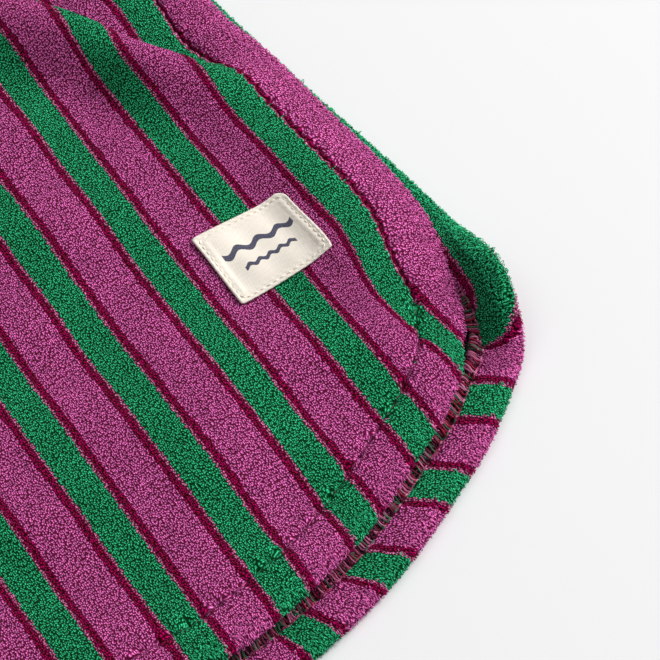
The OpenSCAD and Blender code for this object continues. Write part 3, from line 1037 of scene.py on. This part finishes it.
def rounded(square, half):
    """Maps a square grid from -1 to 1 onto the label, whose upper right corner is the roundest."""
    u, v = square[..., 0], square[..., 1]
    corner = np.where((u > 0) & (v > 0), 4.8, 1.4)[..., None]
    ring = np.maximum(np.abs(u), np.abs(v))
    place = np.stack([u, v], axis=-1) * half
    limit = (half - corner) * ring[..., None]
    nearest = np.clip(place, -limit, limit)
    out = place - nearest
    length = np.linalg.norm(out, axis=-1, keepdims=True)
    reach = np.max(np.abs(out), axis=-1, keepdims=True)
    return nearest + out * np.where(length > 1e-6, reach / np.maximum(length, 1e-6), 1)


def label_height(place):
    """Height of the label over the front's cloth, with its hemmed border, dips at stitches and creases."""
    border = np.min(LABEL_HALF - np.abs(place), axis=-1)
    crease = 0.5 * soft_noise(place[..., 0], place[..., 1], 19, 11)
    hem = 0.35 * smooth(border, 5.2, 3.8)
    dip = -0.45 * np.exp(-(((border - LABEL_STITCH_INSET) / 0.9) ** 2))
    pucker = 0.16 * np.sin(place.sum(axis=-1) * 2 * math.pi / 3.3) * smooth(border, 6, 1)
    return LABEL_LIFT + crease * smooth(border, -1, 7) + hem + dip + pucker


def make_label():
    """Patch label, laid over the front's cloth."""
    line = np.linspace(-1, 1, 57)
    square = np.stack(np.meshgrid(line, line), axis=-1).reshape(-1, 2)
    place = rounded(square, LABEL_HALF)
    middle = front.lay(place + LABEL_MIDDLE, label_height(place))
    points, shell, source = thicken(middle, grid_faces(len(line), len(line)), LABEL_THICK)
    shape = (points, shell)
    made = piece("label_cloth", shape, LABEL_COTTON, "front", ["patch_label"], "label_cotton", place[source])


def make_label_stitches():
    """Stitches round the label, along a rectangle with rounded corners."""
    half = LABEL_HALF - LABEL_STITCH_INSET
    corner = 3.0
    pitch = 3.1
    outline = []
    for cx, cy, start in ((1, -1, -90), (1, 1, 0), (-1, 1, 90), (-1, -1, 180)):
        middle = (half - corner) * [cx, cy]
        for step in range(0, 91, 10):
            angle = math.radians(start + step)
            outline.append(middle + corner * np.array([math.cos(angle), math.sin(angle)]))
    outline.append(outline[0])
    outline = np.array(outline)
    run = lengths_along(outline)
    starts = np.linspace(0, run[-1], int(run[-1] / pitch), endpoint=False)
    at, arch = stitch_row(starts, pitch, 0.12, 0.62)
    place = np.stack([np.interp(at % run[-1], run, outline[:, k]) for k in (0, 1)], axis=-1)
    height = label_height(place) + LABEL_THICK / 2 - 0.15 + 0.32 * arch
    threads = front.lay((place + LABEL_MIDDLE).reshape(-1, 2), height.ravel()).reshape(*place.shape[:2], 3)
    shape, tint = tinted(threads, 0.3)
    nodes = ["patch_label_stitching"]
    piece("label_stitches", shape, CREAM_THREAD, "front", nodes, "label_thread", tint=tint)


make_label()
make_label_stitches()

# ---------------------------------------------------------------- hood
BRIM_WIDTH = 18.0
BRIM_LIFT = TERRY + 0.3            # from the middle of the hood's cloth to the middle of the brim's
BRIM_STITCH = BRIM_WIDTH - 3       # from the face opening's edge to the brim's stitches
FACE_HALF = BRIM_HIGH[0] - BRIM_WIDTH
FACE_TOP = BRIM_HIGH[1] - BRIM_WIDTH
CROWN_RADIUS = HOOD_HIGH[0]
CROWN_CENTRE = CROWN_Y - CROWN_RADIUS
SEAM_TURN = 42.0       # how far the crown's seam runs under before the hood's back begins
HOOD_SIDES = 14.0      # radius of the hood's rounded sides


def hood_plan(turn):
    """Plan places on the face opening's edge and on the hood's outline.

    turn is 0 at the crown and 1 at the neck."""
    angle = math.pi / 2 * (1 - np.minimum(2 * turn, 1))
    below = np.maximum(2 * turn - 1, 0)
    face_centre = FACE_TOP - FACE_HALF
    face = [
        FACE_HALF * np.cos(angle),
        face_centre + FACE_HALF * np.sin(angle) - below * (face_centre - NECK_Y),
    ]
    outline_y = CROWN_CENTRE + CROWN_RADIUS * np.sin(angle) - below * (CROWN_CENTRE - NECK_Y)
    narrow = (CROWN_RADIUS - HOOD_NECK_HALF) * (1 - smooth(outline_y, NECK_Y - 12, NECK_Y + 85))
    return np.stack(face, axis=-1), np.stack([CROWN_RADIUS * np.cos(angle) - narrow, outline_y], axis=-1)


def hood_place(turn, reach):
    """Middle of the right half's cloth.

    reach is 0 at the face opening, 1 at the hood's side and 2 at its seam."""
    turn, reach = np.broadcast_arrays(np.asarray(turn, float), np.asarray(reach, float))
    face, outline = hood_plan(turn)
    seam = np.stack([0 * turn, CROWN_Y - SEAM_TURN - turn * (CROWN_Y - SEAM_TURN - NECK_Y)], axis=-1)
    up = np.clip(reach, 0, 1)[..., None]
    under = np.clip(reach - 1, 0, 1)[..., None] ** 1.5
    plan = face + (outline - face) * up
    plan = plan + (seam - plan) * under
    # The hood swells up from the neck, highest at the face opening and lower at its side
    y = face[..., 1]
    rise = np.sin(math.pi / 2 * np.clip((y - NECK_Y) / 120, 0, 1))
    face_z = 8 + 40 * rise - 7 * smooth(y, FACE_TOP - 50, FACE_TOP)
    side_z = 5 + 10 * rise
    floor_z = TERRY / 2 + 0.1
    top_z = face_z + (side_z - face_z) * (1 - np.sqrt(np.maximum(1 - up[..., 0] ** 2.3, 0)))
    # Its top layer is full between those, with soft folds
    fullness = np.sin(math.pi * np.clip(reach, 0, 1) ** 0.8)
    folds = soft_noise(plan[..., 0], plan[..., 1], 75, 21)
    folds += 0.6 * soft_noise(plan[..., 0], plan[..., 1], 38, 23)
    top_z = top_z + fullness * rise * (3.0 + 2.4 * folds)
    # Past the rounded side its back lies on the floor
    inward = np.linalg.norm(plan - outline, axis=-1)
    curve = np.sqrt(np.maximum(1 - (1 - np.minimum(inward / HOOD_SIDES, 1)) ** 2, 0))
    under_z = side_z + (floor_z - side_z) * curve
    return np.concatenate([plan, np.where(reach > 1, under_z, top_z)[..., None]], axis=-1)


def make_hood_half(side):
    """One half of the hood, with stripes that run straight up to the crown. side is 1 or -1 for the left."""
    turns = np.linspace(0, 1, 120)
    reaches = np.concatenate([1 - np.linspace(1, 0, 34) ** 1.35, 1 + np.linspace(0, 1, 44)[1:]])
    place = hood_place(turns[:, None], reaches[None, :])
    faces = grid_faces(len(turns), len(reaches), flip=True)
    if side < 0:
        faces = [face[::-1] for face in faces]
    middle = place.reshape(-1, 3) * [side, 1, 1]
    points, shell, source = thicken(middle, faces, TERRY)
    node = "hood_right" if side > 0 else "hood_left"
    made = new_object(node + "_cloth", points, shell, TERRY_CLOTH, place.reshape(-1, 3)[source, :2])
    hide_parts(node)
    bend_at_neck(made)


def brim_place(turn, distance, height):
    """Place on the brim, by its distance from the face opening's edge and height off the hood's cloth.

    turn runs from -1 at the left of the neck over the crown to 1 at the right."""
    side = np.where(turn < 0, -1.0, 1.0)
    own = np.abs(turn)
    face, outline = hood_plan(own)
    span = np.linalg.norm(outline - face, axis=-1)
    eps = 0.004

    def at(turns, reach):
        place = hood_place(turns, reach)
        return place * np.stack([side, np.ones_like(side), np.ones_like(side)], axis=-1)

    reach = np.maximum(distance, 0) / span
    middle = at(own, reach)
    along = at(np.minimum(own + eps, 1), reach) - at(np.maximum(own - eps, 0), reach)
    out = at(own, reach + eps * 4) - at(own, reach)
    along[..., 0] = np.where(own < eps, side * np.abs(along[..., 0]), along[..., 0])
    normal = np.cross(out, along) * side[..., None]
    normal /= np.maximum(np.linalg.norm(normal, axis=-1, keepdims=True), 1e-9)
    out /= np.maximum(np.linalg.norm(out, axis=-1, keepdims=True), 1e-9)
    before = np.minimum(distance, 0)[..., None]
    return middle - normal * np.asarray(height)[..., None] + out * before


def make_brim():
    """Band folded over the face opening's edge, by its outer side, rolled edge and inner side, stitched."""
    turns = np.linspace(-1, 1, 331)
    roll = np.linspace(0, math.pi, 9)[1:-1]
    steps = np.linspace(0, BRIM_STITCH, 6)
    outer = [BRIM_WIDTH, BRIM_WIDTH - 0.8, *steps[::-1]]
    distance = np.array([*outer, *(-BRIM_LIFT * np.sin(roll)), *steps])
    height = BRIM_LIFT * np.array([0.45, 0.9, *[1] * len(steps), *np.cos(roll), *[-1] * len(steps)])
    groove = 0.9 * np.exp(-(((distance - BRIM_STITCH) / 1.4) ** 2)) * np.sign(height)
    turn, back_from_edge = np.broadcast_arrays(turns[:, None], distance)
    rows = brim_place(turn, back_from_edge, height - groove + 0 * turn)
    run = lengths_along(rows[:, 3])
    wrap = np.concatenate([[0], np.cumsum(np.hypot(np.diff(distance), np.diff(height)))])
    cloth = np.stack(np.broadcast_arrays(run[:, None], wrap), axis=-1)
    faces = grid_faces(len(turns), len(distance))
    points, shell, source = thicken(rows.reshape(-1, 3), faces, TERRY * 0.8)
    made = new_object("brim_band", points, shell, TERRY_CLOTH, cloth.reshape(-1, 2)[source])
    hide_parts("hood_brim_band")
    bend_at_neck(made)
    line, arch = stitch_row(np.arange(2, run[-1] - 3, STITCH_PITCH))
    turn = np.interp(line, run, turns)
    rise = BRIM_LIFT - 0.9 + TERRY * 0.4 - 0.35 + 0.6 * arch
    shape, tint = tinted(brim_place(turn, BRIM_STITCH + 0 * turn, rise + 0 * turn), 0.4)
    stitches = new_object("brim_stitches", *shape, STITCH_THREAD, tint=tint)
    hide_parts("hood_brim_stitching")
    bend_at_neck(stitches)


def make_hood_seam():
    """Raised centre seam, over the crown and down the hood's back."""
    over = hood_place(0.0, np.concatenate([np.linspace(BRIM_WIDTH / 70, 1, 30), np.linspace(1.05, 2, 20)]))
    down = hood_place(np.linspace(0.02, 1, 60), 2.0)
    path = np.concatenate([over, down])
    path[:, 0] = 0
    path[:, 2] = np.maximum(path[:, 2], TERRY / 2 + 0.3)
    tangent = np.gradient(path, axis=0)
    tangent /= np.linalg.norm(tangent, axis=1, keepdims=True)
    outward = np.cross(tangent, [1.0, 0, 0])
    ring = np.linspace(0, 2 * math.pi, 12, endpoint=False)
    wide = np.outer(np.cos(ring), [2.6, 0, 0])
    points = path[:, None] + wide - outward[:, None] * (1.7 * np.sin(ring))[:, None]
    faces = tube_faces(len(path), len(ring))
    run = lengths_along(path)
    cloth = np.stack(np.broadcast_arrays(wide[:, 0], run[:, None]), axis=-1).reshape(-1, 2)
    made = new_object("hood_seam", points.reshape(-1, 3), faces, TERRY_CLOTH, cloth)
    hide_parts("hood_centre_seam")
    bend_at_neck(made)


make_hood_half(1)
make_hood_half(-1)
make_brim()
make_hood_seam()

# ---------------------------------------------------------------- shoulders, neck and trims
def seam_roll(path, half_wide, half_high):
    """Closed flattened roll of cloth along a path.

    Returns its points, its faces and where each point is along the path and round the roll."""
    sides = 14
    tangent = np.gradient(path, axis=0)
    tangent /= np.linalg.norm(tangent, axis=1, keepdims=True)
    across = np.cross(tangent, [0, 0, 1.0])
    across /= np.linalg.norm(across, axis=1, keepdims=True)
    turn = np.linspace(0, 2 * math.pi, sides, endpoint=False)
    up = np.array([0, 0, 1.0])
    lift = np.outer(np.broadcast_to(half_high, len(path)), np.sin(turn))
    points = path[:, None] + across[:, None] * (half_wide * np.cos(turn))[:, None] + up * lift[..., None]
    place = np.stack(np.broadcast_arrays(lengths_along(path)[:, None], half_wide * turn), axis=-1)
    return points.reshape(-1, 3), tube_faces(len(path), sides), place.reshape(-1, 2)


def make_shoulder(side):
    """Shoulder seam, thicker where it crosses the front's and the back's hems, and its row of stitches."""
    x = side * np.linspace(HOOD_NECK_HALF - 2, FRONT_HALF + 3, 120)
    thick = over_bands(x)
    path = np.column_stack([x, shoulder_y(x) - 1.0, 4.3 + 3.0 * thick])
    points, faces, wrapped = seam_roll(path, 3.4, 3.2 + 3.0 * thick)
    cloth = np.column_stack([points[:, 0], wrapped[:, 1]])
    name = "shoulder_right" if side > 0 else "shoulder_left"
    node = "shoulder_seam_right" if side > 0 else "shoulder_seam_left"
    piece(name, (points, faces), TERRY_CLOTH, "towel", [node], "terry_panels", cloth=cloth)
    row, arch = stitch_row(HOOD_NECK_HALF + 4 + np.arange(0, 195, STITCH_PITCH))
    line = side * row
    flat = np.stack([line, shoulder_y(line) - 7.5], axis=-1).reshape(-1, 2)
    rise = np.tile(TERRY / 2 - 0.6 + 0.75 * arch, len(row))
    shape, tint = tinted(front.lay(flat, rise).reshape(*row.shape, 3), 0.4)
    piece(name + "_stitches", shape, STITCH_THREAD, "towel", [], "topstitch_thread", tint=tint)


def make_neck_edge():
    """Narrow binding on the front's neck scoop, cut along a pink stripe."""
    angle = np.linspace(-0.02, math.pi + 0.02, 150)
    flat = np.column_stack([NECK_RADIUS * np.cos(angle), NECK_Y - NECK_RADIUS * np.sin(angle)])
    path = front.lay(flat, 0 * angle)
    points, faces, cloth = seam_roll(path, 3.0, 2.6)
    cloth = np.column_stack([0.85 * (cloth[:, 1] - 3.0 * math.pi), cloth[:, 0]])
    piece("neck_binding", (points, faces), TERRY_CLOTH, "towel", [], "terry_panels", cloth=cloth)


def flat_strip(path, across, half_wide, thickness, columns=9):
    """Strip of tape along a path. Returns points, faces and each point's place in the tape."""
    offset = np.linspace(-half_wide, half_wide, columns)
    middle = path[:, None] + across[:, None] * offset[:, None]
    points, shell, source = thicken(middle.reshape(-1, 3), grid_faces(len(path), columns), thickness)
    cloth = np.stack(np.broadcast_arrays(lengths_along(path)[:, None], offset), axis=-1).reshape(-1, 2)
    return points, shell, cloth[source]


def tape_height(x):
    """Height of the neck tape, which ripples a little between its stitches."""
    return 4.1 + 0.25 * np.sin(x / 4.1)


def make_neck_tape():
    """Tape over the neck seam, stitched along both its edges."""
    low, high = cad("neck_tape")
    x = np.linspace(low[0], high[0], 110)
    path = np.column_stack([x, np.full(len(x), (low[1] + high[1]) / 2), tape_height(x)])
    across = np.tile([0, 1.0, 0], (len(x), 1))
    points, faces, cloth = flat_strip(path, across, (high[1] - low[1]) / 2, 0.9)
    piece("neck_tape_strip", (points, faces), TAPE_COTTON, "towel", ["neck_tape"], "tape_cotton", cloth)
    pitch = 3.2
    line, arch = stitch_row(np.arange(low[0] + 1, high[0] - 3, pitch), pitch, length=0.7, steps=5)
    height = tape_height(line) + 0.35 + 0.25 * arch
    rows = [np.stack([line, np.full_like(line, y), height], axis=-1) for y in (low[1] + 1.3, high[1] - 1.3)]
    shape, tint = tinted(np.concatenate(rows), 0.25)
    piece("neck_tape_stitches", shape, CREAM_THREAD, "towel", [], "topstitch_thread", tint=tint)


def make_hanging_loop():
    """Tape that hangs from the neck in a U, between the CAD loop's ends."""
    low, high = cad("hanging_loop")
    half_tape = 4.0
    bend = high[0] - half_tape
    bottom = low[1] + half_tape + bend
    turn = np.linspace(0, math.pi, 40)
    down = np.column_stack([np.full(30, -bend), np.linspace(high[1], bottom, 30)])
    round_end = np.column_stack([-bend * np.cos(turn), bottom - bend * np.sin(turn)])
    up = down[::-1] * [-1, 1]
    plan = np.concatenate([down[:-1], round_end, up[1:]])
    lift = 5.6 + 2.6 * np.sin(math.pi * np.clip((high[1] - plan[:, 1]) / (high[1] - low[1]), 0, 1))
    path = np.column_stack([plan, lift])
    tangent = np.gradient(path, axis=0)
    across = np.cross(tangent, [0, 0, 1.0])
    across /= np.linalg.norm(across, axis=1, keepdims=True)
    points, faces, cloth = flat_strip(path, across, half_tape, 0.9)
    piece("loop_tape", (points, faces), TAPE_COTTON, "loop", ["hanging_loop"], "tape_cotton", cloth)


def make_care_label():
    """Plain satin label that hangs from the neck seam and curves up a little."""
    low, high = cad("care_label")
    y = np.linspace(high[1], low[1], 46)
    from_seam = high[1] - y
    lift = 5.4 + 1.6 * smooth(from_seam, 6, 36) + 0.35 * np.sin(from_seam / 5)
    path = np.column_stack([np.full(len(y), (low[0] + high[0]) / 2), y, lift])
    across = np.tile([1.0, 0, 0], (len(y), 1))
    points, faces, cloth = flat_strip(path, across, (high[0] - low[0]) / 2, 0.4, 25)
    made = piece("care_label_cloth", (points, faces), SATIN, "care_tag", ["care_label"], "care_satin", cloth)


make_shoulder(1)
make_shoulder(-1)
make_neck_edge()
make_neck_tape()
make_hanging_loop()
make_care_label()

bpy.context.scene.view_settings.view_transform = "Standard"
